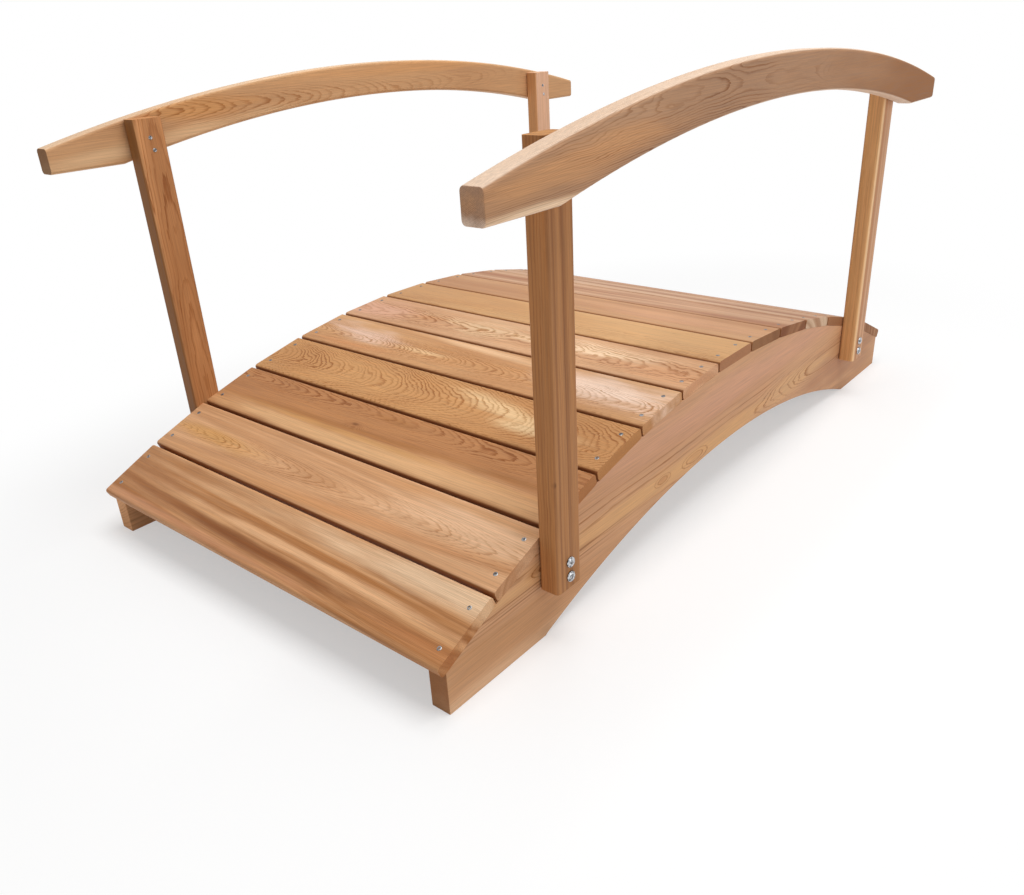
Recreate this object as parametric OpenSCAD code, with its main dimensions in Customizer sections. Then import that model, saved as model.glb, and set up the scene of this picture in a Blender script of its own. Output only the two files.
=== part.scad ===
// Arched cedar garden bridge with two stringers, a boarded deck, four posts and two rails
// Millimetres, +X along the walk towards the far end, +Y to the left, +Z up, ground at zero

/* [Overall] */
// Length over the first and last deck boards
bridge_len = 1803.4; // [1600:0.1:2200]
// Length of the deck boards, which is the width over the stringers
deck_w = 965.2; // [760:0.1:1220]
// Height of the deck at the crest
deck_top_h = 304.8; // [280:0.1:380]
// Height of the rail tops at the crest
rail_top_h = 863.6; // [800:0.1:1000]

/* [Stringers] */
// Thickness of each stringer
stringer_t = 38.1; // [30:0.1:50]
// Length of each foot, from the deck end to the arch
foot_len = 254; // [200:0.1:320]
// Height of the arch underside at the crest
arch_rise = 114.3; // [70:0.1:140]
// Height of the vertical end cuts
end_h = 78; // [60:0.5:100]
// How far the end cuts stand behind the deck ends
end_setback = 15; // [8:0.5:20]
// Rounding along the arch underside
arch_round = 5; // [2:0.5:8]

/* [Deck] */
// Thickness of a deck board
board_t = 22.2; // [18:0.1:28]
// Clear gap between two boards on the stringers
board_gap = 4.5; // [3:0.1:12]
// Rounding of the long board edges
board_round = 6; // [2:0.5:8]

/* [Posts] */
// Post size along the walk
post_w = 63.5; // [50:0.1:90]
// Post size across the walk
post_t = 38.1; // [30:0.1:50]
// Distance of the post centres from the deck ends
post_inset = 270.7; // [220:0.1:340]
// Height of the post feet above the ground
post_foot_h = 101.6; // [70:0.1:120]
// Rounding of the upright post edges
post_round = 7; // [2:0.5:9]

/* [Rails] */
// Thickness of each rail
rail_t = 38.1; // [30:0.1:50]
// Length of rail that runs past each post centre
rail_overhang = 192; // [120:1:240]
// Fall of the rail top from the crest to the end cuts
rail_drop = 99; // [60:0.5:130]
// Height of the rail end cuts
rail_end_h = 47; // [35:0.5:60]
// Depth of the rail at the crest
rail_depth = 72.4; // [55:0.1:85]
// Distance from the posts to where the rail underside turns flat
rail_heel = 12.5; // [5:0.5:25]
// Rounding along the rail edges
rail_round = 7; // [2:0.5:10]

/* [Hidden] */
board_count = 13;
mid_board = (board_count + 1) / 2;
arc_fn = 720;
round_fn = 48;
over = 10;
cedar = [0.76, 0.52, 0.32];
cedar_deep = [0.62, 0.40, 0.23];
cedar_pale = [0.82, 0.62, 0.42];

// Radius of an arc from its half chord and its rise
function arc_r(half, rise) = (half * half + rise * rise) / (2 * rise);

// Depth of an arc below its crest at a distance from mid span
function arc_fall(r, x) = r - sqrt(r * r - x * x);

// Deck boards lie flat on seats that touch one circle
stringer_half = bridge_len / 2 - end_setback;
crest_h = deck_top_h - board_t;
seat_r = arc_r(stringer_half, crest_h - end_h);
seat_z = crest_h - seat_r;
function board_w_at(angle) = seat_r * angle * PI / (180 * (mid_board - 1)) - board_gap;
function end_angle(steps) = steps == 0
    ? asin(bridge_len / 2 / (seat_r + board_t))
    : let (half = board_w_at(end_angle(steps - 1)) / 2 - board_round,
           reach = seat_r + board_t - board_round)
      asin((bridge_len / 2 - board_round) / norm([reach, half])) - atan2(half, reach);
last_angle = end_angle(8);
pitch = last_angle / (mid_board - 1);
board_w = board_w_at(last_angle);

// Arch underside between the feet
arch_r = arc_r(bridge_len / 2 - foot_len, arch_rise);
arch_z = arch_rise - arch_r;

// Rail top and underside arcs, set out from the posts
post_x = bridge_len / 2 - post_inset;
rail_half = post_x + rail_overhang;
rail_r = arc_r(rail_half, rail_drop);
rail_z = rail_top_h - rail_r;
rail_flat_z = rail_top_h - rail_drop - rail_end_h;
rail_turn_x = post_x + post_w / 2 + rail_heel;
under_r = arc_r(rail_turn_x, rail_top_h - rail_depth - rail_flat_z);
under_z = rail_top_h - rail_depth - under_r;

// Posts end level with the rail top at their outer corner
post_top_h = rail_top_h - arc_fall(rail_r, post_x + post_w / 2);

function board_name(i) = str("deck_board_", i < 10 ? "0" : "", i);
board_names = [for (i = [1:board_count]) board_name(i)];

// Rectangle from the origin with all four corners rounded
module rounded_plate(w, h, r) {
    translate([r, 0]) square([w - 2 * r, h]);
    translate([0, r]) square([w, h - 2 * r]);
    for (x = [r, w - r], y = [r, h - r]) translate([x, y]) circle(r, $fn = round_fn);
}

// Stands an outline drawn in x and z upright, from y zero to y thick
module upright(thick) {
    translate([0, thick, 0]) rotate([90, 0, 0]) linear_extrude(height = thick) children();
}

// Turns a section drawn as radius and depth about an axis across the walk
module turned(z, thick) {
    translate([0, thick, z]) rotate([90, 0, 0]) rotate_extrude($fn = arc_fn) children();
}

// Wheel whose two rims flare outwards, which rounds over the edges of the arch it cuts
module arch_cutter(r, z, thick, rounding) {
    turned(z, thick) {
        translate([0, -over]) square([r, thick + 2 * over]);
        for (side = [0, 1]) translate([r, side * thick]) mirror([0, side]) difference() {
            translate([-over, -over]) square([rounding + over, rounding + over]);
            translate([rounding, rounding]) circle(rounding, $fn = round_fn);
        }
    }
}

// Wheel with two rounded rims, which gives an arched top its rounded edges
module arch_top(r, z, thick, rounding) {
    turned(z, thick) {
        translate([0, rounding]) square([r, thick - 2 * rounding]);
        square([r - rounding, thick]);
        for (h = [rounding, thick - rounding])
            translate([r - rounding, h]) circle(rounding, $fn = round_fn);
    }
}

// Stringer side view with one flat seat under each board
module stringer_outline() {
    seat_corner_r = seat_r / cos(pitch / 2);
    intersection() {
        translate([-stringer_half, 0]) square([2 * stringer_half, crest_h + over]);
        polygon(concat(
            [[-bridge_len, -over]],
            [for (i = [0:board_count])
                let (angle = (i - board_count / 2) * pitch)
                [seat_corner_r * sin(angle), seat_z + seat_corner_r * cos(angle)]],
            [[bridge_len, -over]]));
    }
}

module stringer(y) {
    color(cedar) translate([0, y, 0]) difference() {
        upright(stringer_t) stringer_outline();
        arch_cutter(arch_r, arch_z, stringer_t, arch_round);
    }
}

module deck_board(i) {
    color(i % 2 == 0 ? cedar_pale : cedar)
        translate([0, -deck_w / 2, seat_z]) rotate([0, (i - mid_board) * pitch, 0])
            translate([-board_w / 2, 0, seat_r])
                upright(deck_w) rounded_plate(board_w, board_t, board_round);
}

module post(x, y) {
    color(cedar_deep) translate([x - post_w / 2, y, post_foot_h])
        linear_extrude(height = post_top_h - post_foot_h) rounded_plate(post_w, post_t, post_round);
}

module rail(y) {
    color(cedar_pale) translate([0, y, 0]) difference() {
        intersection() {
            arch_top(rail_r, rail_z, rail_t, rail_round);
            translate([-rail_half, -over, rail_flat_z])
                cube([2 * rail_half, rail_t + 2 * over, rail_top_h - rail_flat_z + over]);
        }
        arch_cutter(under_r, under_z, rail_t, rail_round);
    }
}

left_side = deck_w / 2;
right_side = -deck_w / 2;

stringer(left_side - stringer_t);  // left_stringer
stringer(right_side);  // right_stringer
for (i = [1:board_count]) deck_board(i);
post(-post_x, left_side);  // near_left_post
post(-post_x, right_side - post_t);  // near_right_post
post(post_x, left_side);  // far_left_post
post(post_x, right_side - post_t);  // far_right_post
rail(left_side + post_t);  // left_rail
rail(right_side - post_t - rail_t);  // right_rail
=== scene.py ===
import math
import random
import bpy
from mathutils import Matrix, Vector


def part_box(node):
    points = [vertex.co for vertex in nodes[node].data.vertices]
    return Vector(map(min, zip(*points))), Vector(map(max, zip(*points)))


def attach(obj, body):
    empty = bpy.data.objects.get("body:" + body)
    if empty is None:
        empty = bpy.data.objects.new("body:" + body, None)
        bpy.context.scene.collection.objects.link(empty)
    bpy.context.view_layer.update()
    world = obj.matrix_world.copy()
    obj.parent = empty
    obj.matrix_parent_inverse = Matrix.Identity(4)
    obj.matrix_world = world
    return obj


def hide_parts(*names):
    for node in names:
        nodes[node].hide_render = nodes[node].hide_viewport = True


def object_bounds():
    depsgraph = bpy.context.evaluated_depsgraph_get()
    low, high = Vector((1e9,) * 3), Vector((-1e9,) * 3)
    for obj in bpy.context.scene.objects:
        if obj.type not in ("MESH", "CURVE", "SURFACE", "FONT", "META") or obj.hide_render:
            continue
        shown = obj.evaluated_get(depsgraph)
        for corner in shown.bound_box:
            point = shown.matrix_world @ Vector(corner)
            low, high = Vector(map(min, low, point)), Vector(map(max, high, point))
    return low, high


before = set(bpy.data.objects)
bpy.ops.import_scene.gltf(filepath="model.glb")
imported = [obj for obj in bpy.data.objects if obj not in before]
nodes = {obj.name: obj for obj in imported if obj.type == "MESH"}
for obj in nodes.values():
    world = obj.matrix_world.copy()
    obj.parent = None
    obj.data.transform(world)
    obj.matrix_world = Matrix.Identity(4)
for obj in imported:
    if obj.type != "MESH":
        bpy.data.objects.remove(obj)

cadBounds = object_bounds()
scene = bpy.context.scene
scene.view_settings.view_transform = "Standard"
print("frame loaded,", len(nodes), "wooden pieces")


# a screen colour, 0 to 255, as the linear colour that a socket takes
def toLinear(rgb):
    shares = [c / 255 for c in rgb]
    return [s / 12.92 if s <= 0.04045 else ((s + 0.055) / 1.055) ** 2.4 for s in shares] + [1.0]


# small helpers for node trees, which take sockets or plain values
def feed(tree, socket, value):
    if isinstance(value, bpy.types.NodeSocket):
        tree.links.new(value, socket)
    else:
        socket.default_value = value


def addNode(tree, kind, *inputs, **settings):
    node = tree.nodes.new(kind)
    for key, value in settings.items():
        setattr(node, key, value)
    for socket, value in zip(node.inputs, inputs):
        feed(tree, socket, value)
    return node


def calc(tree, operation, *inputs):
    return addNode(tree, "ShaderNodeMath", *inputs, operation=operation).outputs[0]


def vectorCalc(tree, operation, *inputs, output="Vector"):
    return addNode(tree, "ShaderNodeVectorMath", *inputs, operation=operation).outputs[output]


def combine(tree, x, y, z):
    return addNode(tree, "ShaderNodeCombineXYZ", x, y, z).outputs[0]


def splitVector(tree, vector):
    outputs = addNode(tree, "ShaderNodeSeparateXYZ", vector).outputs
    return outputs[0], outputs[1], outputs[2]


def noise(tree, vector, detail, roughness=0.5):
    node = tree.nodes.new("ShaderNodeTexNoise")
    feed(tree, node.inputs["Vector"], vector)
    node.inputs["Scale"].default_value = 1.0
    node.inputs["Detail"].default_value = detail
    node.inputs["Roughness"].default_value = roughness
    return node.outputs[0]


def ramp(tree, value, low, high, lowOut=0.0, highOut=1.0):
    node = addNode(tree, "ShaderNodeMapRange", value, low, high, lowOut, highOut)
    node.interpolation_type = "SMOOTHSTEP"
    return node.outputs[0]


def mixColour(tree, factor, first, second, blend="MIX"):
    node = tree.nodes.new("ShaderNodeMix")
    node.data_type = "RGBA"
    node.blend_type = blend
    feed(tree, node.inputs[0], factor)
    feed(tree, node.inputs[6], first)
    feed(tree, node.inputs[7], second)
    return node.outputs[2]


def tinted(tree, colour, tint):
    return mixColour(tree, 1.0, colour, list(tint) + [1.0], "MULTIPLY")


# a place in noise with one scale along the grain and one across it
def grainPlace(tree, parts, scales, shift):
    along, across, deep = parts
    scaleAlong, scaleAcross = scales
    return combine(tree, calc(tree, "MULTIPLY_ADD", along, scaleAlong, shift),
                   calc(tree, "MULTIPLY", across, scaleAcross), calc(tree, "MULTIPLY", deep, scaleAcross))


# a group that takes a vector and named values, and gives named values
def newGroup(name, values, results):
    group = bpy.data.node_groups.new(name, "ShaderNodeTree")
    group.interface.new_socket(name="Vector", in_out="INPUT", socket_type="NodeSocketVector")
    for label in values:
        group.interface.new_socket(name=label, in_out="INPUT", socket_type="NodeSocketFloat")
    for label in results:
        group.interface.new_socket(name=label, in_out="OUTPUT", socket_type="NodeSocketFloat")
    return group, group.nodes.new("NodeGroupInput").outputs, group.nodes.new("NodeGroupOutput").inputs


def placeGroup(tree, group, vector, values):
    node = tree.nodes.new("ShaderNodeGroup")
    node.node_tree = group
    feed(tree, node.inputs["Vector"], vector)
    for label, value in values.items():
        feed(tree, node.inputs[label], value)
    return node.outputs


# growth rings cut by the surface: lengths in metres, x along the grain
# a noise has a scale along the grain, a scale across it and its detail
rings = {
    "seedStep": 5.37,
    "slow": (1.6, 5.0, 1.0), "slowShare": 2.0,
    "medium": (6.5, 11.0, 1.0), "mediumShare": 0.9,
    "quick": (30.0, 22.0, 1.5), "quickShare": 2.0,
    "feather": (16.0, 430.0, 1.5),
    "unevenScale": 40.0, "unevenDetail": 2.0, "unevenRings": 4.0,
    "lineFull": 0.92, "lineEnd": 0.94,   # shares of a ring, counted outwards
    "weakest": 0.4, "strengthRange": 0.6,
    "fading": (5.0, 26.0, 1.0), "fadeFrom": -0.16, "fadeTo": 0.12, "fadedShare": 0.45,
    "bandAlong": 0.9, "bandDetail": 2.0, "bandFrom": 0.30, "bandTo": 0.70,
    "fibre": (9.0, 520.0, 2.5), "fibreRoughness": 0.6,
    "fleck": (48.0, 400.0, 1.0), "fleckFrom": 0.66, "fleckTo": 0.80,
}


def makeCedarFigure():
    names = ("Seed", "Pith Y", "Pith Z", "Lean Y", "Lean Z", "Ring Width", "Warp", "Ripple", "Band Width",
             "Line Width", "Tear", "Swell")
    group, give, take = newGroup("cedarFigure", names, ("Line", "Band", "Fibre", "Fleck"))
    parts = splitVector(group, give["Vector"])
    along, across, deep = parts
    shift = calc(group, "MULTIPLY", give["Seed"], rings["seedStep"])

    def grainNoise(kind, roughness=0.5):
        *scales, detail = rings[kind]
        return noise(group, grainPlace(group, parts, scales, shift), detail, roughness)

    def wander(kind, amount):   # centred on zero
        return calc(group, "MULTIPLY", calc(group, "SUBTRACT", grainNoise(kind), 0.5), amount)

    # distance from a leaning pith that wanders
    slow = wander("slow", calc(group, "MULTIPLY", give["Warp"], rings["slowShare"]))
    medium = wander("medium", calc(group, "MULTIPLY", give["Warp"], rings["mediumShare"]))
    quick = wander("quick", calc(group, "MULTIPLY", give["Ripple"], rings["quickShare"]))
    axisY = calc(group, "MULTIPLY_ADD", give["Lean Y"], along, give["Pith Y"])
    axisZ = calc(group, "MULTIPLY_ADD", give["Lean Z"], along, give["Pith Z"])
    sideY = calc(group, "ADD", calc(group, "SUBTRACT", across, axisY), slow)
    sideZ = calc(group, "ADD", calc(group, "SUBTRACT", deep, axisZ), medium)
    square = calc(group, "MULTIPLY_ADD", sideY, sideY, calc(group, "MULTIPLY", sideZ, sideZ))
    radius = calc(group, "ADD", calc(group, "SQRT", square), quick)
    radius = calc(group, "ADD", radius, give["Swell"])

    # rings of uneven width torn along the fibres, each with its own strength and one sharp side
    torn = calc(group, "ADD", radius, wander("feather", give["Tear"]))
    ringPlace = combine(group, calc(group, "MULTIPLY_ADD", torn, rings["unevenScale"], shift), 0.0, 0.0)
    uneven = noise(group, ringPlace, rings["unevenDetail"])
    count = calc(group, "ADD", calc(group, "DIVIDE", torn, give["Ring Width"]),
                 calc(group, "MULTIPLY", uneven, rings["unevenRings"]))
    phase = calc(group, "FRACT", count)
    lineStart = calc(group, "SUBTRACT", rings["lineEnd"], give["Line Width"])
    rise = ramp(group, phase, lineStart, rings["lineFull"])
    fall = ramp(group, phase, rings["lineEnd"], 1.0, 1.0, 0.0)
    strength = addNode(group, "ShaderNodeTexWhiteNoise", noise_dimensions="1D")
    feed(group, strength.inputs["W"], calc(group, "ADD", calc(group, "FLOOR", count), give["Seed"]))
    each = calc(group, "MULTIPLY_ADD", strength.outputs["Value"], rings["strengthRange"], rings["weakest"])
    fading = ramp(group, wander("fading", 1.0), rings["fadeFrom"], rings["fadeTo"], rings["fadedShare"], 1.0)
    line = calc(group, "MULTIPLY", calc(group, "MULTIPLY", rise, fall), calc(group, "MULTIPLY", each, fading))
    feed(group, take["Line"], line)

    # broad soft colour bands that follow the rings
    bandPlace = combine(group, calc(group, "MULTIPLY_ADD", along, rings["bandAlong"], shift),
                        calc(group, "DIVIDE", radius, give["Band Width"]), 0.0)
    band = noise(group, bandPlace, rings["bandDetail"])
    feed(group, take["Band"], ramp(group, band, rings["bandFrom"], rings["bandTo"]))

    # fine fibres and short dark flecks along the grain
    feed(group, take["Fibre"], grainNoise("fibre", rings["fibreRoughness"]))
    fleck = ramp(group, grainNoise("fleck"), rings["fleckFrom"], rings["fleckTo"])
    feed(group, take["Fleck"], fleck)
    return group


# a soft patch, streak or knot somewhere on a board, with a ragged edge along the grain
zoneEdge = {"scales": (7.0, 42.0), "detail": 2.0, "seedStep": 3.1, "from": 0.15, "to": 1.15}


def makeSoftZone():
    names = ("Seed", "Along", "Across", "Deep", "Length", "Width", "Depth", "Slope", "Ragged")
    group, give, take = newGroup("softZone", names, ("Zone",))
    parts = splitVector(group, give["Vector"])
    along, across, deep = parts
    fromAlong = calc(group, "SUBTRACT", along, give["Along"])
    fromAcross = calc(group, "SUBTRACT", calc(group, "SUBTRACT", across, give["Across"]),
                      calc(group, "MULTIPLY", fromAlong, give["Slope"]))
    fromDeep = calc(group, "SUBTRACT", deep, give["Deep"])
    reach = combine(group, calc(group, "DIVIDE", fromAlong, give["Length"]),
                    calc(group, "DIVIDE", fromAcross, give["Width"]),
                    calc(group, "DIVIDE", fromDeep, give["Depth"]))
    distance = vectorCalc(group, "LENGTH", reach, output="Value")
    shift = calc(group, "MULTIPLY", give["Seed"], zoneEdge["seedStep"])
    uneven = noise(group, grainPlace(group, parts, zoneEdge["scales"], shift), zoneEdge["detail"])
    ragged = calc(group, "MULTIPLY", calc(group, "SUBTRACT", uneven, 0.5), give["Ragged"])
    border = calc(group, "ADD", distance, ragged)
    feed(group, take["Zone"], ramp(group, border, zoneEdge["from"], zoneEdge["to"], 1.0, 0.0))
    return group


# 1 where the surface faces along a direction or against it
facingCosine = {"from": 0.55, "full": 0.9}


def makeFacing():
    group, give, take = newGroup("facing", (), ("Facing",))
    normal = group.nodes.new("ShaderNodeNewGeometry").outputs["Normal"]
    cosine = vectorCalc(group, "DOT_PRODUCT", normal, give["Vector"], output="Value")
    turned = ramp(group, calc(group, "ABSOLUTE", cosine), facingCosine["from"], facingCosine["full"])
    feed(group, take["Facing"], turned)
    return group


# fine saw marks for the cut ends
sawTeeth = {"across": 900.0, "deep": 60.0, "detail": 2.0}


def makeSawMarks():
    group, give, take = newGroup("sawMarks", (), ("Saw",))
    across, deep = splitVector(group, give["Vector"])[1:]
    place = combine(group, 0.0, calc(group, "MULTIPLY", across, sawTeeth["across"]),
                    calc(group, "MULTIPLY", deep, sawTeeth["deep"]))
    feed(group, take["Saw"], noise(group, place, sawTeeth["detail"]))
    return group


cedarFigure = makeCedarFigure()
softZone = makeSoftZone()
facing = makeFacing()
sawMarks = makeSawMarks()
print("cedar node groups ready")

cedarFinish = {
    "lineTint": (0.58, 0.41, 0.24),   # latewood against the wood around it
    "fleckTint": (0.66, 0.56, 0.46),
    "fibreFrom": 0.3, "fibreTo": 0.7, "fibreLow": 0.88, "fibreHigh": 1.11,
    "roughFrom": 0.25, "roughTo": 0.75, "roughLow": 0.52, "roughHigh": 0.70, "endRough": 0.2,
    "specular": 0.30,
    "bumpStrength": 0.25, "bumpDistance": 0.0006, "lineRelief": 0.1, "sawRelief": 1.5,
    "swellRagged": 0.25,
}


# part of a board, by its middle and reach along and across the grain; right through unless depth is set
def area(at, size, slope=0.0, ragged=1.1, deep=0.0, depth=10.0, **own):
    return {"at": at, "size": size, "slope": slope, "ragged": ragged, "deep": deep, "depth": depth} | own


def areaMask(tree, place, part, seed):
    values = {"Seed": seed, "Along": part["at"][0], "Across": part["at"][1], "Deep": part["deep"],
              "Length": part["size"][0], "Width": part["size"][1], "Depth": part["depth"],
              "Slope": part["slope"], "Ragged": part["ragged"]}
    return placeGroup(tree, softZone, place, values)["Zone"]


def facingShare(tree, axis):
    return placeGroup(tree, facing, axis, {})["Facing"]


# the board's own axes, with the grain along x
def boardPlace(tree, centre, axes):
    local = tree.nodes.new("ShaderNodeMapping")
    local.vector_type = "TEXTURE"
    tree.links.new(tree.nodes.new("ShaderNodeTexCoord").outputs["Object"], local.inputs["Vector"])
    local.inputs["Location"].default_value = centre
    local.inputs["Rotation"].default_value = Matrix(axes).transposed().to_euler()
    return local.outputs[0]


# the board's rings, with swells that close them into ovals or draw them into hooks
def boardFigure(tree, look, place):
    swell = 0.0
    for part in look["swells"]:
        mask = areaMask(tree, place, part | {"ragged": cedarFinish["swellRagged"]}, look["seed"])
        swell = calc(tree, "MULTIPLY_ADD", mask, part["amount"], swell)
    return placeGroup(tree, cedarFigure, place, {
        "Seed": look["seed"], "Pith Y": look["pith"][0], "Pith Z": look["pith"][1],
        "Lean Y": look["lean"][0], "Lean Z": look["lean"][1], "Ring Width": look["ring"],
        "Warp": look["warp"], "Ripple": look["ripple"], "Band Width": look["band"],
        "Line Width": look["lineWidth"], "Tear": look["tear"] * look["ring"], "Swell": swell})


def boardColour(tree, look, place, axes, figure):
    bandShare = calc(tree, "MULTIPLY", figure["Band"], look["bandDepth"])
    colour = mixColour(tree, bandShare, toLinear(look["pale"]), toLinear(look["deep"]))
    for index, part in enumerate(look["zones"]):
        mask = areaMask(tree, place, part, look["seed"] + index)
        share = calc(tree, "MULTIPLY", mask, part["share"])
        colour = mixColour(tree, share, colour, toLinear(part["colour"]))
    if "edgeToneAndPaintedLight" in look:   # the long narrow faces take a colour of their own: on some pieces wood tone, on others painted shade (deck gaps, a post's end faces) and painted light (rail undersides)
        paintedLightEdgeShare = calc(tree, "MULTIPLY", facingShare(tree, axes[1]), look["paintedLightEdgeShare"])
        colour = mixColour(tree, paintedLightEdgeShare, colour, toLinear(look["edgeToneAndPaintedLight"]))
    lineShare = calc(tree, "MULTIPLY", figure["Line"], look["lineDepth"])
    if look["calmEdges"]:   # lines fade where the broad face rolls over
        broad = facingShare(tree, axes[2])
        lineShare = calc(tree, "MULTIPLY", lineShare, calc(tree, "MULTIPLY", broad, broad))
    if "linesWithin" in look:   # lines only on part of the board
        within = areaMask(tree, place, look["linesWithin"], look["seed"])
        lineShare = calc(tree, "MULTIPLY", lineShare, within)
    colour = mixColour(tree, lineShare, colour, tinted(tree, colour, cedarFinish["lineTint"]))
    fleckShare = calc(tree, "MULTIPLY", figure["Fleck"], look["fleckDepth"])
    colour = mixColour(tree, fleckShare, colour, tinted(tree, colour, cedarFinish["fleckTint"]))
    shade = ramp(tree, figure["Fibre"], cedarFinish["fibreFrom"], cedarFinish["fibreTo"],
                 cedarFinish["fibreLow"], cedarFinish["fibreHigh"])
    grey = addNode(tree, "ShaderNodeCombineColor", shade, shade, shade).outputs[0]
    return mixColour(tree, 1.0, colour, grey, "MULTIPLY")


def makeCedar(name, look, centre, axes):
    material = bpy.data.materials.new(name)
    material.use_nodes = True
    tree = material.node_tree
    shader = tree.nodes["Principled BSDF"]
    place = boardPlace(tree, centre, axes)
    figure = boardFigure(tree, look, place)
    end = facingShare(tree, axes[0])
    colour = boardColour(tree, look, place, axes, figure)
    colour = mixColour(tree, end, colour, tinted(tree, colour, look["endTint"]))
    tree.links.new(colour, shader.inputs["Base Color"])

    rough = ramp(tree, figure["Fibre"], cedarFinish["roughFrom"], cedarFinish["roughTo"],
                 cedarFinish["roughLow"], cedarFinish["roughHigh"])
    rough = calc(tree, "MULTIPLY_ADD", end, cedarFinish["endRough"], rough)
    tree.links.new(rough, shader.inputs["Roughness"])
    shader.inputs["Specular IOR Level"].default_value = cedarFinish["specular"]
    saw = calc(tree, "MULTIPLY", end, placeGroup(tree, sawMarks, place, {})["Saw"])
    height = calc(tree, "MULTIPLY_ADD", figure["Line"], cedarFinish["lineRelief"], figure["Fibre"])
    height = calc(tree, "MULTIPLY_ADD", saw, cedarFinish["sawRelief"], height)
    bump = tree.nodes.new("ShaderNodeBump")
    bump.inputs["Strength"].default_value = cedarFinish["bumpStrength"]
    bump.inputs["Distance"].default_value = cedarFinish["bumpDistance"]
    tree.links.new(height, bump.inputs["Height"])
    tree.links.new(bump.outputs[0], shader.inputs["Normal"])
    return material


# softly eased sawn ends on the straight pieces
easing = {"weld": 0.00001, "width": 0.0015, "segments": 3, "angle": math.radians(60)}


def dressStraight(name, look, axes):
    low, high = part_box(name)
    centre = (Vector(low) + Vector(high)) / 2
    piece = nodes[name]
    piece.data.materials.clear()
    piece.data.materials.append(makeCedar(name + "_cedar", look, centre, axes))
    weld = piece.modifiers.new("weld", "WELD")
    weld.merge_threshold = easing["weld"]
    bevel = piece.modifiers.new("ease", "BEVEL")
    bevel.width = easing["width"]
    bevel.segments = easing["segments"]
    bevel.limit_method = "ANGLE"
    bevel.angle_limit = easing["angle"]
    soften = piece.modifiers.new("soften", "WEIGHTED_NORMAL")
    soften.mode = "FACE_AREA_WITH_ANGLE"
    return centre


# what all cedar has unless a look says otherwise; colours are 0 to 255, lengths in metres
plainCedar = {
    "ring": 0.0034, "lineWidth": 0.40, "lineDepth": 0.5, "tear": 0.9, "warp": 0.010, "ripple": 0.0006,
    "pith": (0.02, -0.07), "lean": (0.0, 0.04), "band": 0.045, "bandDepth": 0.7, "fleckDepth": 0.25,
    "endTint": (0.82, 0.74, 0.66), "calmEdges": False, "zones": [], "swells": [],
}

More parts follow.
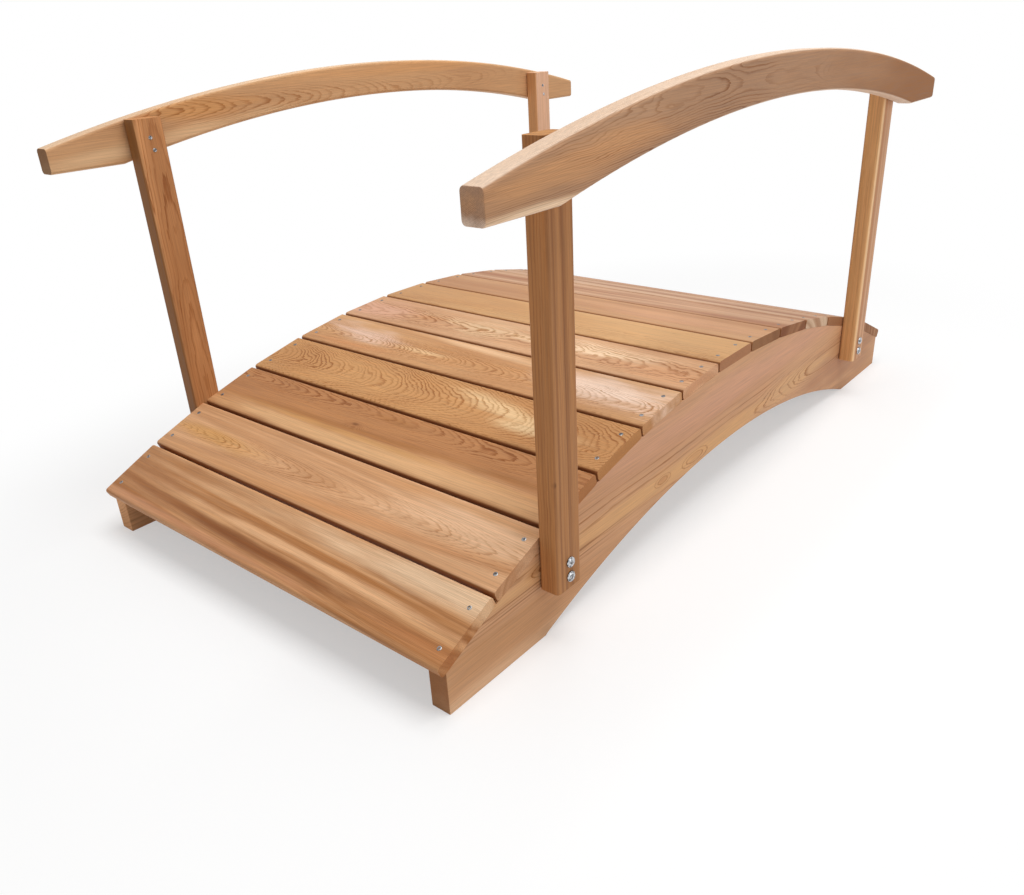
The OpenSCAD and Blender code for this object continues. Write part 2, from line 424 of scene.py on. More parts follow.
# deck boards from the near end; across is positive towards the near edge, along towards the left
deckLooks = [
    # dark and pale stripes, cream towards the right end
    {"pale": (214, 162, 114), "deep": (160, 102, 52), "pith": (0.34, -0.12), "lean": (-0.04, 0.01),
     "band": 0.014, "bandDepth": 1.0, "ring": 0.0022, "warp": 0.012,
     "zones": [area((-0.05, -0.046), (0.80, 0.030), colour=(212, 166, 124), share=0.7),
               area((0.30, -0.050), (0.26, 0.012), colour=(178, 122, 72), share=0.6),
               area((-0.43, -0.046), (0.40, 0.030), colour=(236, 200, 162), share=0.95),
               area((-0.10, -0.013), (0.80, 0.007), slope=-0.03, colour=(168, 106, 50), share=0.75),
               area((-0.10, 0.007), (0.75, 0.011), slope=-0.015, colour=(232, 182, 136), share=0.85),
               area((0.02, 0.030), (0.90, 0.013), slope=-0.025, colour=(140, 84, 38), share=0.9),
               area((0.06, 0.036), (0.38, 0.015), slope=-0.02, colour=(126, 70, 28), share=0.75),
               area((-0.44, 0.044), (0.22, 0.018), colour=(196, 130, 78), share=0.6),
               area((0.44, 0.0), (0.28, 0.090), colour=(166, 112, 70), share=0.65),
               area((0.25, 0.058), (0.50, 0.012), colour=(202, 146, 108), share=0.7)]},
    # narrow pointed arches along the middle
    {"pale": (222, 172, 128), "deep": (194, 142, 98), "pith": (0.004, -0.028), "lean": (0.0, 0.050),
     "ring": 0.0016, "warp": 0.004, "ripple": 0.0003, "lineDepth": 0.9, "band": 0.014, "bandDepth": 0.9,
     "endTint": (0.70, 0.64, 0.60), "linesWithin": area((0.0, 0.004), (4.0, 0.055), ragged=0.4),
     "zones": [area((0.36, 0.004), (0.20, 0.028), colour=(206, 152, 86), share=0.75),
               area((-0.20, 0.040), (0.40, 0.016), slope=0.06, colour=(206, 142, 90), share=0.6),
               area((-0.36, -0.020), (0.24, 0.050), colour=(242, 198, 158), share=0.85),
               area((-0.30, -0.055), (0.40, 0.012), colour=(206, 148, 96), share=0.6),
               area((0.20, 0.055), (0.40, 0.014), colour=(200, 144, 94), share=0.6)]},
    # brown with a small knot, pale along the near edge
    {"pale": (186, 130, 82), "deep": (156, 102, 60), "pith": (-0.046, -0.040), "lean": (0.0, 0.048),
     "ring": 0.0017, "warp": 0.009, "ripple": 0.0010, "lineDepth": 1.2, "lineWidth": 0.5,
     "linesWithin": area((0.0, -0.060), (4.0, 0.085), ragged=0.5),
     "swells": [area((0.055, -0.004), (0.035, 0.016), amount=0.008)],
     "zones": [area((0.0, 0.050), (0.90, 0.030), colour=(218, 172, 124), share=0.85),
               area((0.0, 0.010), (0.70, 0.010), slope=0.02, colour=(168, 112, 60), share=0.6),
               area((0.0, 0.026), (0.70, 0.010), colour=(204, 152, 90), share=0.6),
               area((-0.30, 0.030), (0.26, 0.030), colour=(222, 172, 124), share=0.6),
               area((0.055, -0.004), (0.012, 0.005), colour=(120, 72, 40), share=0.8),
               area((-0.03, -0.040), (0.07, 0.014), colour=(166, 110, 60), share=0.6)]},
    # wavy arches over the whole width, with cream patches that are partly sapwood and partly painted sheen
    {"pale": (204, 152, 98), "deep": (176, 120, 70), "pith": (0.005, -0.150), "lean": (0.0, 0.100),
     "ring": 0.0018, "warp": 0.009, "ripple": 0.0024, "lineDepth": 1.6, "lineWidth": 0.5,
     "linesWithin": area((0.0, 0.0), (4.0, 0.120), ragged=0.4),
     "zones": [area((-0.23, -0.012), (0.20, 0.030), slope=-0.16, colour=(240, 206, 158), share=0.7),
               area((-0.28, 0.020), (0.10, 0.020), colour=(242, 212, 166), share=0.6),
               area((0.40, 0.0), (0.16, 0.070), colour=(184, 130, 78), share=0.6)]},
    # pale towards both ends, partly sapwood and partly painted sheen
    {"pale": (212, 164, 116), "deep": (186, 132, 86), "pith": (0.017, -0.060), "lean": (0.0, 0.066),
     "ring": 0.0014, "ripple": 0.0014, "lineDepth": 1.7, "lineWidth": 0.55,
     "linesWithin": area((0.0, 0.017), (4.0, 0.075), ragged=0.4),
     "zones": [area((0.32, -0.006), (0.16, 0.042), slope=-0.12, ragged=1.6, colour=(238, 204, 184),
                    share=0.8),
               area((0.0, 0.005), (0.30, 0.040), colour=(198, 144, 92), share=0.6),
               area((0.12, 0.010), (0.12, 0.012), colour=(234, 198, 152), share=0.7),
               area((-0.36, -0.010), (0.20, 0.060), colour=(250, 222, 202), share=0.9),
               area((-0.02, -0.050), (0.24, 0.016), slope=-0.05, colour=(236, 194, 152), share=0.8),
               area((0.30, 0.050), (0.20, 0.020), colour=(212, 150, 100), share=0.7)]},
    # bold uneven figure with cream patches, partly sapwood and partly painted sheen
    {"pale": (212, 166, 126), "deep": (188, 134, 92), "pith": (0.010, -0.080), "lean": (0.0, 0.060),
     "ring": 0.0030, "warp": 0.018, "ripple": 0.0028, "lineDepth": 1.5, "lineWidth": 0.5, "band": 0.020,
     "endTint": (0.96, 0.92, 0.94), "linesWithin": area((0.0, 0.010), (4.0, 0.070), ragged=0.4),
     "zones": [area((0.08, -0.006), (0.22, 0.044), ragged=2.0, colour=(232, 200, 160), share=0.72),
               area((0.24, 0.0), (0.06, 0.030), colour=(196, 140, 92), share=0.7),
               area((-0.24, -0.010), (0.18, 0.040), ragged=2.0, colour=(246, 214, 178), share=0.85),
               area((-0.40, 0.030), (0.14, 0.040), colour=(216, 160, 116), share=0.6),
               area((0.42, 0.010), (0.14, 0.070), colour=(216, 166, 138), share=0.85)]},
    # even honey colour at the crest
    {"pale": (208, 162, 112), "deep": (186, 134, 86), "pith": (-0.01, -0.090), "lean": (0.0, 0.030),
     "ring": 0.0030, "ripple": 0.0034, "lineDepth": 1.0, "lineWidth": 0.6, "fleckDepth": 0.5,
     "endTint": (0.60, 0.48, 0.50), "linesWithin": area((0.0, 0.060), (4.0, 0.060), ragged=0.5)},
    # plainer boards down to the far end
    {"pale": (202, 156, 114), "deep": (174, 122, 84), "pith": (0.20, -0.080), "lean": (0.0, 0.02),
     "ring": 0.0024, "endTint": (0.46, 0.37, 0.29),
     "zones": [area((-0.25, 0.0), (0.30, 0.060), colour=(210, 158, 122), share=0.6)]},
    {"pale": (212, 172, 138), "deep": (166, 114, 80), "pith": (-0.13, -0.10), "lean": (0.02, 0.0),
     "ring": 0.0022, "band": 0.026, "bandDepth": 1.0, "lineDepth": 0.4, "endTint": (0.52, 0.39, 0.29)},
    {"pale": (208, 170, 138), "deep": (160, 112, 80), "pith": (0.10, -0.09), "lean": (0.02, 0.0),
     "band": 0.030, "bandDepth": 1.0, "lineDepth": 0.4, "endTint": (1.10, 1.25, 1.35)},
    {"pale": (198, 154, 120), "deep": (160, 110, 76), "pith": (0.02, -0.06), "lean": (0.0, 0.07),
     "ring": 0.0018, "ripple": 0.0010, "lineDepth": 0.7, "endTint": (0.60, 0.46, 0.33)},
    {"pale": (210, 170, 138), "deep": (160, 112, 80), "pith": (-0.10, -0.08), "lean": (0.0, -0.03),
     "band": 0.028, "bandDepth": 1.0},
    {"pale": (188, 146, 114), "deep": (142, 96, 64), "pith": (0.22, -0.08), "lean": (0.0, 0.02),
     "band": 0.020, "bandDepth": 1.0},
]
deckSeeds = {"first": 3.0, "step": 1.7}
paintedGapShade = {"edgeToneAndPaintedLight": (146, 88, 46), "paintedLightEdgeShare": 0.9}   # painted shade: board edges inside the gaps darkened to stand for the gaps' shadow
boardFrames = []
for index, own in enumerate(deckLooks):
    name = "deck_board_%02d" % (index + 1)
    mesh = nodes[name].data
    topFace = max(mesh.polygons, key=lambda face: face.area if face.normal.z > 0 else 0.0)
    up = topFace.normal.copy()
    along = Vector((0, 1, 0))
    across = up.cross(along)
    seed = deckSeeds["first"] + deckSeeds["step"] * index
    edges = paintedGapShade if 0 < index < len(deckLooks) - 1 else {}
    look = plainCedar | {"seed": seed, "calmEdges": True} | edges | own
    centre = dressStraight(name, look, [along, across, up])
    reach = [vertex.co - centre for vertex in mesh.vertices]
    halves = [max(r.dot(axis) for r in reach) for axis in (along, across, up)]
    boardFrames.append({"name": name, "axes": (along, across, up), "centre": centre, "halves": halves})
print("deck boards dressed")


def startFresh():
    if bpy.context.object and bpy.context.object.mode != "OBJECT":
        bpy.ops.object.mode_set(mode="OBJECT")
    bpy.ops.object.select_all(action="DESELECT")


# stringers and rails are sawn from straight blocks, so that their long curves stay even
plank = {"stationGap": 0.022, "cornerRoom": 0.006, "roundSteps": 5, "ease": 0.0015, "easeSteps": 3,
         "sharpAngle": math.radians(50), "smoothAngle": math.radians(40), "near": 0.0001}


def selectEdges(piece, wanted):
    bpy.ops.object.mode_set(mode="EDIT")
    bpy.ops.mesh.select_mode(type="EDGE")
    bpy.ops.mesh.select_all(action="DESELECT")
    bpy.ops.object.mode_set(mode="OBJECT")
    points = piece.data.vertices
    for edge in piece.data.edges:
        edge.select = wanted(points[edge.vertices[0]].co, points[edge.vertices[1]].co)
    bpy.ops.object.mode_set(mode="EDIT")


def bevelSelected(width, steps):
    bpy.ops.mesh.bevel(offset=width, segments=steps, affect="EDGES", clamp_overlap=True)


# cuts a block across at each station, draws its top and underside to their lines and rounds its edges
def sawArched(name, node, corners, topAt, underAt, rounded, roundWidth):
    low, high = Vector(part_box(node)[0]), Vector(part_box(node)[1])
    middle = (low + high) / 2
    near = plank["near"]
    startFresh()
    bpy.ops.mesh.primitive_cube_add(size=1, location=middle)
    piece = bpy.context.object
    piece.scale = high - low
    bpy.ops.object.transform_apply(location=True, rotation=True, scale=True)
    steps = round((high.x - low.x) / plank["stationGap"])
    even = [low.x + (high.x - low.x) * i / steps for i in range(1, steps)]
    room = plank["cornerRoom"]
    stations = [x for x in even if all(abs(x - c) > room for c in corners)] + list(corners)
    bpy.ops.object.mode_set(mode="EDIT")
    for x in stations:
        bpy.ops.mesh.select_all(action="SELECT")
        bpy.ops.mesh.bisect(plane_co=(x, 0, 0), plane_no=(1, 0, 0))
    bpy.ops.object.mode_set(mode="OBJECT")
    for vertex in piece.data.vertices:
        lineAt = topAt if vertex.co.z > middle.z else underAt
        vertex.co.z = lineAt(vertex.co.x)

    def longEdge(a, b):
        return abs(a.x - b.x) > near and abs(a.y - b.y) < near and rounded(a, b)

    selectEdges(piece, longEdge)
    bevelSelected(roundWidth, plank["roundSteps"])
    bpy.ops.mesh.select_all(action="DESELECT")
    bpy.ops.mesh.edges_select_sharp(sharpness=plank["sharpAngle"])
    bevelSelected(plank["ease"], plank["easeSteps"])
    bpy.ops.mesh.select_all(action="SELECT")
    bpy.ops.mesh.normals_make_consistent(inside=False)
    bpy.ops.object.mode_set(mode="OBJECT")
    bpy.ops.object.shade_smooth_by_angle(angle=plank["smoothAngle"])
    soften = piece.modifiers.new("soften", "WEIGHTED_NORMAL")
    soften.keep_sharp = True
    bpy.ops.object.modifier_apply(modifier="soften")
    piece.name = name
    piece.data.name = name
    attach(piece, "root")
    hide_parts(node)
    return piece


# height of an arc that has its crest over mid span and falls by a drop at a reach
def arcHeight(x, crest, reach, drop):
    radius = (reach ** 2 + drop ** 2) / (2 * drop)
    return crest - radius + math.sqrt(radius ** 2 - x ** 2)


archedStringer = {"footLength": 0.254, "archRise": 0.1143, "edge": 0.005, "near": 0.001}


def sawStringer(node):
    deckEnd = cadBounds[1][0]
    reach = deckEnd - archedStringer["footLength"]
    rise = archedStringer["archRise"]
    near = archedStringer["near"]
    seats = []   # a point under each board and the board's upward direction
    for board in boardFrames:
        up = board["axes"][2]
        seats.append((board["centre"] - up * board["halves"][2], up))

    def seatHeight(seat, x):
        point, up = seat
        return point.z - (x - point.x) * up.x / up.z

    def topAt(x):
        return min(seatHeight(seat, x) for seat in seats)

    def underAt(x):
        return max(0.0, arcHeight(x, rise, reach, rise)) if abs(x) < reach else 0.0

    def onArch(a, b):
        return max(abs(a.x), abs(b.x)) < reach + near and a.z < underAt(a.x) + near

    corners = [-reach, reach]
    for (first, upFirst), (second, upSecond) in zip(seats, seats[1:]):   # where two seats meet
        slopeFirst = -upFirst.x / upFirst.z
        slopeSecond = -upSecond.x / upSecond.z
        gap = (second.z - slopeSecond * second.x) - (first.z - slopeFirst * first.x)
        corners.append(gap / (slopeFirst - slopeSecond))
    name = "leftArchedStringer" if node.startswith("left") else "rightArchedStringer"
    piece = sawArched(name, node, corners, topAt, underAt, onArch, archedStringer["edge"])
    return piece


archedRail = {"drop": 0.099, "crestDepth": 0.0724, "heelAt": 0.675, "edge": 0.007}


def sawRail(node):
    low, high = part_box(node)
    crest, flat = high[2], low[2]
    under = crest - archedRail["crestDepth"]

    def topAt(x):
        return arcHeight(x, crest, high[0], archedRail["drop"])

    def underAt(x):
        return max(flat, arcHeight(x, under, archedRail["heelAt"], under - flat))

    def anyEdge(a, b):
        return True

    heels = [-archedRail["heelAt"], archedRail["heelAt"]]
    name = "leftArchedRail" if node.startswith("left") else "rightArchedRail"
    piece = sawArched(name, node, heels, topAt, underAt, anyEdge, archedRail["edge"])
    return piece


# stringers and rails: along the walk, across is up, deep is towards the right
sideLooks = {
    # closed ovals under the crest, pointed arches at the far foot, a few long lines at the near foot
    "right_stringer": {
        "pale": (202, 154, 114), "deep": (182, 132, 92), "pith": (-0.009, -0.0585), "lean": (0.0, 0.004),
        "ring": 0.0060, "band": 0.040, "lineDepth": 1.6, "lineWidth": 0.28, "tear": 0.33, "warp": 0.004,
        "ripple": 0.0003, "seed": 41.0, "endTint": (0.60, 0.48, 0.38),
        "linesWithin": area((0.0, -0.003), (3.0, 0.062), ragged=0.4),
        "swells": [area((-0.157, -0.010), (0.060, 0.018), amount=-0.010),
                   area((-0.280, -0.009), (0.038, 0.015), amount=-0.010),
                   area((-0.625, -0.005), (0.080, 0.020), amount=-0.012),
                   area((0.52, -0.009), (0.38, 0.060), amount=-0.045)],
        "zones": [area((-0.76, -0.078), (0.30, 0.050), colour=(184, 134, 90), share=0.85),
                  area((-0.78, -0.136), (0.30, 0.030), colour=(214, 172, 134), share=0.85),
                  area((-0.25, -0.010), (0.85, 0.028), colour=(208, 158, 106), share=0.85),
                  area((0.05, 0.085), (0.85, 0.050), colour=(200, 148, 118), share=0.75),
                  area((-0.157, -0.010), (0.044, 0.011), colour=(188, 134, 86), share=0.5),
                  area((-0.280, -0.009), (0.030, 0.011), colour=(186, 130, 82), share=0.7),
                  area((0.64, -0.05), (0.36, 0.100), colour=(168, 118, 84), share=0.8),
                  area((0.36, -0.004), (0.28, 0.032), colour=(206, 160, 114), share=0.8),
                  area((-0.672, -0.003), (0.030, 0.010), colour=(166, 110, 62), share=0.6),
                  area((-0.62, -0.025), (0.34, 0.0017), ragged=0.4, colour=(140, 88, 46), share=0.8),
                  area((-0.66, -0.031), (0.24, 0.0012), ragged=0.4, colour=(150, 98, 56), share=0.7),
                  area((-0.64, -0.037), (0.30, 0.0016), ragged=0.4, colour=(140, 88, 46), share=0.8)]},
    # paler colours and a lighter end than the right stringer: painted light on the foot that the deck shades
    "left_stringer": {
        "pale": (226, 174, 128), "deep": (202, 148, 102), "pith": (0.02, -0.060), "lean": (0.0, 0.005),
        "ring": 0.0064, "band": 0.060, "lineDepth": 0.8, "lineWidth": 0.30, "tear": 0.33, "warp": 0.008,
        "seed": 43.5, "endTint": (1.0, 0.95, 0.9),
        "swells": [area((-0.50, 0.0), (0.34, 0.060), amount=-0.036)]},
    # fine lines on the near half; pale on the top and underside, partly sapwood and partly painted light from
    # the floor, most in a strip low at the near end
    "right_rail": {
        "pale": (186, 145, 111), "deep": (154, 112, 80), "pith": (0.036, -0.055), "lean": (0.0, 0.0),
        "ring": 0.0019, "band": 0.040, "lineDepth": 1.2, "lineWidth": 0.45, "tear": 0.4, "warp": 0.008,
        "ripple": 0.0005, "seed": 51.0, "endTint": (1.05, 1.12, 1.32),
        "edgeToneAndPaintedLight": (226, 200, 176), "paintedLightEdgeShare": 0.85,
        "linesWithin": area((-0.42, 0.0), (0.66, 10.0), ragged=0.6),
        "swells": [area((-0.13, 0.0), (0.66, 10.0), amount=0.022)],
        "zones": [area((-0.62, -0.020), (0.30, 0.030), slope=0.12, colour=(200, 146, 98), share=0.8),
                  area((-0.74, -0.070), (0.20, 0.012), colour=(236, 204, 170), share=0.9),
                  area((0.80, 0.0), (0.80, 0.40), ragged=0.3, colour=(138, 85, 36), share=0.9)]},
    "left_rail": {
        "pale": (202, 157, 113), "deep": (180, 130, 88), "pith": (0.014, -0.046), "lean": (0.0, -0.05),
        "ring": 0.0019, "band": 0.050, "lineDepth": 1.0, "lineWidth": 0.45, "tear": 0.6, "warp": 0.008,
        "seed": 57.0, "endTint": (0.49, 0.44, 0.41), "edgeToneAndPaintedLight": (236, 206, 172), "paintedLightEdgeShare": 0.6,
        "linesWithin": area((-0.45, 0.012), (1.2, 0.042), ragged=0.5),
        "zones": [area((-0.60, -0.040), (0.45, 0.020), slope=0.10, colour=(218, 180, 138), share=0.8),
                  area((-0.50, 0.018), (0.17, 0.030), colour=(204, 146, 86), share=0.7),
                  area((0.2, 0.055), (0.60, 0.020), colour=(208, 154, 102), share=0.8)]},
}
alongWalk = [Vector((1, 0, 0)), Vector((0, 0, 1)), Vector((0, -1, 0))]
for name, own in sideLooks.items():
    piece = sawStringer(name) if "stringer" in name else sawRail(name)
    low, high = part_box(name)
    centre = (Vector(low) + Vector(high)) / 2
    piece.data.materials.append(makeCedar(name + "_cedar", plainCedar | own, centre, alongWalk))
print("arched stringers and rails sawn and dressed")

# posts: along is up, across is along the walk, deep is towards the left
uprightCedar = plainCedar | {"lean": (0.0, 0.0), "band": 0.010, "bandDepth": 0.9, "warp": 0.004,
                             "ring": 0.0026, "lineDepth": 0.45, "tear": 0.6, "endTint": (1.1, 1.1, 1.05)}
postLooks = {
    # a small knot on the outer corner, with a dark streak through it
    "near_right_post": {
        "pale": (176, 122, 74), "deep": (138, 88, 48), "pith": (0.16, 0.10), "seed": 61.0, "band": 0.007,
        "lineDepth": 0.8, "edgeToneAndPaintedLight": (190, 128, 74), "paintedLightEdgeShare": 0.6, "endTint": (1.3, 1.4, 1.35),
        "zones": [area((-0.15, -0.029), (0.007, 0.004), deep=-0.015, depth=0.005, ragged=0.3,
                       colour=(74, 44, 26), share=0.95),
                  area((-0.15, -0.029), (0.30, 0.003), deep=-0.015, depth=0.004, ragged=0.5,
                       colour=(126, 78, 48), share=0.7)]},
    # the faces towards either end are darker: painted shade on the near face, which the lamps leave dim
    "near_left_post": {
        "pale": (212, 152, 100), "deep": (172, 116, 70), "pith": (0.006, 0.055), "lean": (0.004, 0.014),
        "lineDepth": 1.0, "edgeToneAndPaintedLight": (138, 90, 44), "paintedLightEdgeShare": 0.95, "warp": 0.008, "ring": 0.0022,
        "seed": 66.0},
    # a brown stripe along the outer corner, and a pale one on the rounded corner that is a painted highlight
    "far_right_post": {
        "pale": (208, 162, 126), "deep": (178, 126, 88), "pith": (0.2, 0.06), "seed": 71.0,
        "edgeToneAndPaintedLight": (214, 158, 100), "paintedLightEdgeShare": 0.8,
        "zones": [area((0.0, -0.016), (2.0, 0.010), deep=-0.019, depth=0.012, ragged=0.4,
                       colour=(178, 118, 70), share=0.8),
                  area((0.0, -0.029), (2.0, 0.009), deep=-0.017, depth=0.009, ragged=0.4,
                       colour=(240, 200, 152), share=0.9)]},
    "far_left_post": {
        "pale": (224, 180, 148), "deep": (204, 156, 122), "pith": (0.03, 0.06), "seed": 76.0,
        "edgeToneAndPaintedLight": (202, 144, 90), "paintedLightEdgeShare": 0.9},
}
for name, own in postLooks.items():
    dressStraight(name, uprightCedar | own, [Vector((0, 0, 1)), Vector((1, 0, 0)), Vector((0, 1, 0))])
print("posts dressed")

# zinc plated fasteners
zinc = {"scale": (260.0, 260.0, 260.0), "detail": 3.0, "toneFrom": 0.40, "toneTo": 0.60,
        "roughFrom": 0.2, "roughTo": 0.8}


def makeZinc(name, dull, bright, roughLow, roughHigh):
    material = bpy.data.materials.new(name)
    material.use_nodes = True
    tree = material.node_tree
    shader = tree.nodes["Principled BSDF"]
    coordinates = tree.nodes.new("ShaderNodeTexCoord").outputs["Object"]
    blotch = noise(tree, vectorCalc(tree, "MULTIPLY", coordinates, zinc["scale"]), zinc["detail"])
    tone = ramp(tree, blotch, zinc["toneFrom"], zinc["toneTo"])
    tree.links.new(mixColour(tree, tone, dull, bright), shader.inputs["Base Color"])
    rough = ramp(tree, blotch, zinc["roughFrom"], zinc["roughTo"], roughLow, roughHigh)
    tree.links.new(rough, shader.inputs["Roughness"])
    shader.inputs["Metallic"].default_value = 1.0
    return material


brightZinc = makeZinc("brightZinc", (0.14, 0.14, 0.145, 1.0), (0.60, 0.61, 0.63, 1.0), 0.12, 0.26)
dullZinc = makeZinc("dullZinc", (0.16, 0.165, 0.17, 1.0), (0.34, 0.345, 0.35, 1.0), 0.28, 0.45)


# adds a filled outline and leaves its face selected in edit mode
def startDisc(sides, radius, height=0.0):
    startFresh()
    place = (0, 0, height)
    bpy.ops.mesh.primitive_circle_add(vertices=sides, radius=radius, fill_type="NGON", location=place)
    piece = bpy.context.object
    bpy.ops.object.mode_set(mode="EDIT")
    bpy.ops.mesh.select_all(action="SELECT")
    return piece


# extrudes the selected face by each rise and draws it in to each radius
def stackUp(radius, steps):
    for rise, nextRadius in steps:
        bpy.ops.mesh.extrude_region_move(TRANSFORM_OT_translate={"value": (0, 0, rise)})
        factor = nextRadius / radius
        bpy.ops.transform.resize(value=(factor, factor, 1))
        radius = nextRadius


def closeShape(piece, smoothAngle):
    bpy.ops.mesh.select_all(action="SELECT")
    bpy.ops.mesh.normals_make_consistent(inside=False)
    bpy.ops.object.mode_set(mode="OBJECT")
    bpy.ops.object.transform_apply(location=True, rotation=True, scale=True)
    bpy.ops.object.shade_smooth_by_angle(angle=smoothAngle)
    return piece


def joinPieces(pieces):
    startFresh()
    for piece in pieces:
        piece.select_set(True)
    bpy.context.view_layer.objects.active = pieces[0]
    bpy.ops.object.join()
    return pieces[0]


# eases, roots and tips are shares of a height or radius
bolt = {
    "headSides": 40, "headRadius": 0.0096, "rim": 0.0012, "domeHeight": 0.0048, "domeSteps": 7,
    "crownStep": 0.6, "domeAngle": math.radians(40),
    "washerSides": 40, "washerRadius": 0.0120, "washerThickness": 0.0018, "washerEase": (0.2, 0.96),
    "nutSides": 6, "nutAcross": 0.0143, "nutHeight": 0.0080, "nutEase": (0.12, 0.88), "nutTurn": 0.4,
    "stubSides": 24, "stubRadius": 0.0047, "stubLength": 0.0050, "stubSunk": 0.001, "threadTurns": 4,
    "threadRoot": 0.9, "stubTip": 0.82, "nutAngle": math.radians(30),
    "heights": (0.150, 0.123), "towardsMiddle": 0.001,
}


# domed head standing on z zero
def makeBoltHead():
    radius = bolt["headRadius"]
    piece = startDisc(bolt["headSides"], radius)
    steps = [(bolt["rim"], radius)]
    last = 0.0
    for step in range(1, bolt["domeSteps"] + 1):
        angle = math.pi / 2 * step / (bolt["domeSteps"] + bolt["crownStep"])
        height = bolt["domeHeight"] * math.sin(angle)
        steps.append((height - last, radius * math.cos(angle)))
        last = height
    stackUp(radius, steps)
    return closeShape(piece, bolt["domeAngle"])


# straight sides up to an eased upper edge
def easedStack(height, radius, ease):
    share, narrowed = ease
    return [(height * (1 - share), radius), (height * share, radius * narrowed)]


# washer, hexagon nut and thread end standing on z zero
def makeBoltNut():
    smoothAngle = bolt["nutAngle"]
    wide, thick = bolt["washerRadius"], bolt["washerThickness"]
    washer = startDisc(bolt["washerSides"], wide)
    stackUp(wide, easedStack(thick, wide, bolt["washerEase"]))
    closeShape(washer, smoothAngle)
    corner, tall = bolt["nutAcross"] / math.sqrt(3), bolt["nutHeight"]
    nut = startDisc(bolt["nutSides"], corner, thick)
    stackUp(corner, easedStack(tall, corner, bolt["nutEase"]))
    closeShape(nut, smoothAngle)
    ridge, turns = bolt["stubRadius"], bolt["threadTurns"]
    rise = bolt["stubLength"] / (2 * turns + 1)
    stub = startDisc(bolt["stubSides"], ridge, thick + tall - bolt["stubSunk"])
    thread = [(rise, ridge * bolt["threadRoot"]), (rise, ridge)] * turns
    stackUp(ridge, thread + [(rise, ridge * bolt["stubTip"])])
    closeShape(stub, smoothAngle)
    return joinPieces([washer, nut, stub])


# copies of a model set with its z axis along each direction, joined into one piece
def setCopies(model, name, places, material):
    copies = []
    for point, direction, turn in places:
        copy = model.copy()
        copy.data = model.data.copy()
        scene.collection.objects.link(copy)
        aim = Vector(direction).to_track_quat("Z", "Y").to_matrix().to_4x4()
        copy.matrix_world = Matrix.Translation(point) @ aim @ Matrix.Rotation(turn, 4, "Z")
        copies.append(copy)
    startFresh()
    bpy.context.view_layer.update()
    for copy in copies:
        copy.select_set(True)
    bpy.context.view_layer.objects.active = copies[0]
    bpy.ops.object.transform_apply(location=True, rotation=True, scale=True)
    piece = joinPieces(copies)
    piece.name = name
    piece.data.name = name
    piece.data.materials.clear()
    piece.data.materials.append(material)
    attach(piece, "root")


def cornerName(node):
    return "".join(word.capitalize() for word in node.split("_")[:2])


boltHead = makeBoltHead()
boltNut = makeBoltNut()
for name in postLooks:
    low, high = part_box(name)
    side = 1 if low[1] > 0 else -1
    end = 1 if low[0] > 0 else -1
    outer = high[1] if side > 0 else low[1]
    stringerLow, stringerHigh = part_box("left_stringer" if side > 0 else "right_stringer")
    inner = stringerLow[1] if side > 0 else stringerHigh[1]
    boltX = (low[0] + high[0]) / 2 - end * bolt["towardsMiddle"]
    nutTurn = bolt["nutTurn"] * side
    heads = [((boltX, outer, z), (0, side, 0), 0.0) for z in bolt["heights"]]
    nuts = [((boltX, inner, z), (0, -side, 0), nutTurn) for z in bolt["heights"]]
    setCopies(boltHead, "boltHeads" + cornerName(name), heads, brightZinc)
    setCopies(boltNut, "boltNuts" + cornerName(name), nuts, brightZinc)
for model in (boltHead, boltNut):
    bpy.data.objects.remove(model)
print("carriage bolts set")

# each step of the crown is a share of its height and a share of the radius
screw = {
    "sides": 28, "headRadius": 0.0040, "sunk": 0.0003, "rim": 0.0003, "crown": 0.0004,
    "crownSteps": ((0.6, 0.88), (0.4, 0.7)), "smoothAngle": math.radians(35),
    "recessLength": 0.0052, "recessWidth": 0.0014, "recessDepth": 0.0007,
    "fromEnd": 0.021, "fromEdge": 0.031, "seed": 12,
}


# low crowned head with a cross recess
def makeScrewHead():
    radius, crown = screw["headRadius"], screw["crown"]
    head = startDisc(screw["sides"], radius, -screw["sunk"])
    crownSteps = [(crown * rise, radius * reach) for rise, reach in screw["crownSteps"]]
    stackUp(radius, [(screw["rim"] + screw["sunk"], radius)] + crownSteps)
    closeShape(head, screw["smoothAngle"])
    top = screw["rim"] + crown
    for turn in (0.0, math.pi / 2):
        startFresh()
        bpy.ops.mesh.primitive_cube_add(size=1, location=(0, 0, top), rotation=(0, 0, turn))
        cutter = bpy.context.object
        cutter.scale = (screw["recessLength"], screw["recessWidth"], screw["recessDepth"] * 2)
        bpy.ops.object.transform_apply(location=True, rotation=True, scale=True)
        startFresh()
        bpy.context.view_layer.objects.active = head
        head.select_set(True)
        cut = head.modifiers.new("recess", "BOOLEAN")
        cut.operation = "DIFFERENCE"
        cut.object = cutter
        bpy.ops.object.modifier_apply(modifier="recess")
        bpy.data.objects.remove(cutter)
    bpy.ops.object.shade_smooth_by_angle(angle=screw["smoothAngle"])
    return head


screwHead = makeScrewHead()
drawTurn = random.Random(screw["seed"])
for board in boardFrames:
    along, across, up = board["axes"]
    halfLength = board["halves"][0] - screw["fromEnd"]
    halfWidth = board["halves"][1] - screw["fromEdge"]
    top = board["centre"] + up * board["halves"][2]
    places = []
    for endSide in (-1, 1):
        for edgeSide in (-1, 1):
            point = top + along * halfLength * endSide + across * halfWidth * edgeSide
            places.append((point, up, drawTurn.uniform(0, math.pi)))
    setCopies(screwHead, "deckScrews" + board["name"][-2:], places, dullZinc)

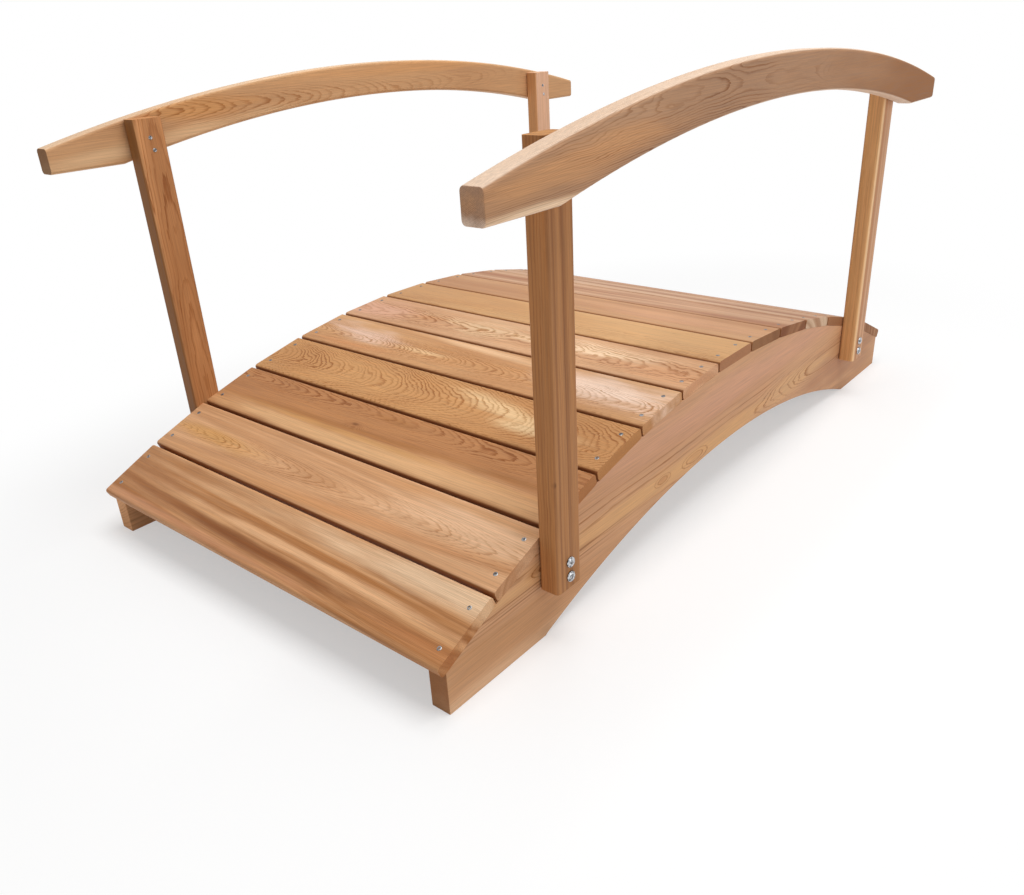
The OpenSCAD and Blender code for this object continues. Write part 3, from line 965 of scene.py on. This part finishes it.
# two to a post, through the post into the rail
railScrew = {"belowTop": (0.036, 0.060), "fromMiddle": (-0.002, 0.002)}
for name in postLooks:
    low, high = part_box(name)
    side = 1 if low[1] > 0 else -1
    face = low[1] if side > 0 else high[1]
    middle = (low[0] + high[0]) / 2
    places = []
    for drop, step in zip(railScrew["belowTop"], railScrew["fromMiddle"]):
        places.append(((middle + step, face, high[2] - drop), (0, -side, 0), drawTurn.uniform(0, math.pi)))
    setCopies(screwHead, "railScrews" + cornerName(name), places, brightZinc)
bpy.data.objects.remove(screwHead)
print("screws set")

# pale floor that keeps the shadow and runs into white
studio = {"floorSize": 40.0, "floorColour": (0.97, 0.97, 0.97, 1.0), "white": (1.0, 1.0, 1.0, 1.0),
          "lift": 0.46, "narrow": (0.62, 1.0, 1.0), "fadeFrom": 0.75, "fadeTo": 1.35, "worldFill": 0.38}


# 1 for rays that see the background, also in metal or glass
def seenRays(tree):
    path = tree.nodes.new("ShaderNodeLightPath").outputs
    mirrored = calc(tree, "MAXIMUM", path["Is Glossy Ray"], path["Is Transmission Ray"])
    return calc(tree, "MAXIMUM", path["Is Camera Ray"], mirrored)


startFresh()
bpy.ops.mesh.primitive_plane_add(size=studio["floorSize"], location=(0, 0, 0))
floor = bpy.context.object
floor.name = "studioFloor"
paper = bpy.data.materials.new("studioPaper")
paper.use_nodes = True
tree = paper.node_tree
tree.nodes.remove(tree.nodes["Principled BSDF"])
matte = addNode(tree, "ShaderNodeBsdfDiffuse", studio["floorColour"]).outputs[0]
white = addNode(tree, "ShaderNodeEmission", studio["white"], 1.0).outputs[0]
spot = tree.nodes.new("ShaderNodeTexCoord").outputs["Object"]
spread = vectorCalc(tree, "MULTIPLY", spot, studio["narrow"])
distance = vectorCalc(tree, "LENGTH", spread, output="Value")
fade = ramp(tree, distance, studio["fadeFrom"], studio["fadeTo"], studio["lift"], 1.0)
mixShader = tree.nodes.new("ShaderNodeMixShader")
feed(tree, mixShader.inputs[0], calc(tree, "MULTIPLY", seenRays(tree), fade))
tree.links.new(matte, mixShader.inputs[1])
tree.links.new(white, mixShader.inputs[2])
tree.links.new(mixShader.outputs[0], tree.nodes["Material Output"].inputs["Surface"])
floor.data.materials.append(paper)

world = bpy.data.worlds.new("studioWorld")
scene.world = world
world.use_nodes = True
tree = world.node_tree
background = tree.nodes["Background"]
background.inputs["Color"].default_value = studio["white"]
tree.links.new(calc(tree, "MAXIMUM", seenRays(tree), studio["worldFill"]), background.inputs["Strength"])

lamps = {
    "overhead": {"place": (0.1, -0.9, 4.8), "aim": (0.0, 0.0, 0.2), "size": 3.0, "watts": 165},
    "rightSide": {"place": (0.8, -5.0, 2.4), "aim": (0.0, 0.0, 0.4), "size": 2.6, "watts": 45},
}
for name, lamp in lamps.items():
    light = bpy.data.lights.new(name, "AREA")
    light.shape = "SQUARE"
    light.size = lamp["size"]
    light.energy = lamp["watts"]
    holder = bpy.data.objects.new(name, light)
    scene.collection.objects.link(holder)
    holder.location = lamp["place"]
    away = Vector(lamp["place"]) - Vector(lamp["aim"])
    holder.rotation_euler = away.to_track_quat("Z", "Y").to_euler()

# camera at the photograph's place
view = {"azimuth": -49.0, "elevation": 25.66, "roll": -3.25, "place": (-1.574, -1.2323, 0.9246),
        "focalPixels": 875, "imageWidth": 1024, "sensorWidth": 36}
azimuth, elevation, roll = (math.radians(view[key]) for key in ("azimuth", "elevation", "roll"))
back = Vector((math.sin(azimuth) * math.cos(elevation), -math.cos(azimuth) * math.cos(elevation),
               math.sin(elevation)))
right = Vector((math.cos(azimuth), math.sin(azimuth), 0))
up = back.cross(right)
rolledRight = math.cos(roll) * right + math.sin(roll) * up
rolledUp = math.cos(roll) * up - math.sin(roll) * right
camera = bpy.data.cameras.new("photoCamera")
camera.sensor_fit = "HORIZONTAL"
camera.sensor_width = view["sensorWidth"]
camera.lens = view["focalPixels"] / view["imageWidth"] * view["sensorWidth"]
cameraHolder = bpy.data.objects.new("photoCamera", camera)
scene.collection.objects.link(cameraHolder)
turned = Matrix((rolledRight, rolledUp, back)).transposed().to_4x4()
cameraHolder.matrix_world = Matrix.Translation(view["place"]) @ turned
scene.camera = cameraHolder
print("stage, lamps and camera set")
